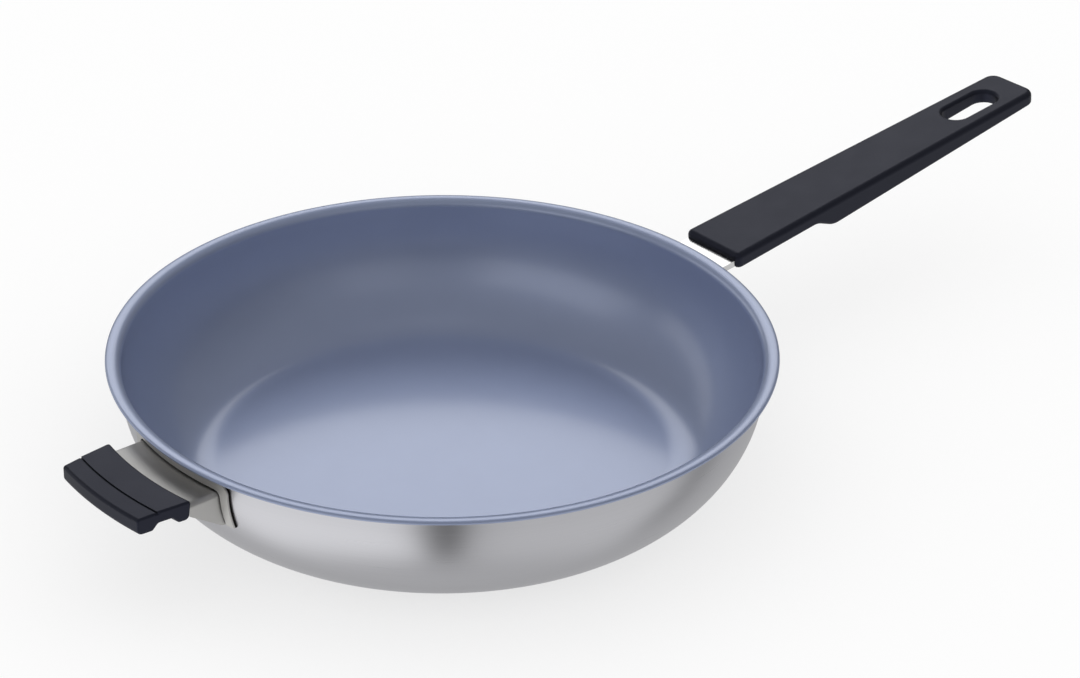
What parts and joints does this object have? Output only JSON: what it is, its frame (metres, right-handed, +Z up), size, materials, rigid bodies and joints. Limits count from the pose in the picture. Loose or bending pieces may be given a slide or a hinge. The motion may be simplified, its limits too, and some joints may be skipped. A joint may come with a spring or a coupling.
{
  "type": "frying pan",
  "caption": "Round steel frying pan with a ceramic-lined inside, flared pouring lip, encapsulated base, long slotted grip and a short helper grip.",
  "frame": {"origin": "on the pan's axis, at the face of the base that rests on the hob", "axes": "+Z up out of the pan's mouth, +X outwards along the long grip, helper grip towards -X"},
  "size_m": [0.549, 0.2922, 0.0835],
  "materials": {
    "shell_steel": "satin, brushed round the axis",
    "ceramic": "satin sprayed ceramic coating, blue-grey",
    "core_aluminium": "rolled",
    "base_steel": "turned, magnetic steel",
    "bracket_steel": "polished",
    "grip_plastic": "moulded phenolic, fine matte texture",
    "screw_steel": "plain stainless"
  },
  "bodies": {
    "root": {"pan_body": "shell_steel", "ceramic_coating": "ceramic", "base_core": "core_aluminium", "base_cap": "base_steel", "handle_bracket": "bracket_steel", "handle_grip": "grip_plastic", "handle_screw": "screw_steel", "handle_lock_washer": "screw_steel", "helper_bracket": "bracket_steel", "helper_grip": "grip_plastic", "helper_screw": "screw_steel", "helper_lock_washer": "screw_steel"}
  },
  "joints": []
}
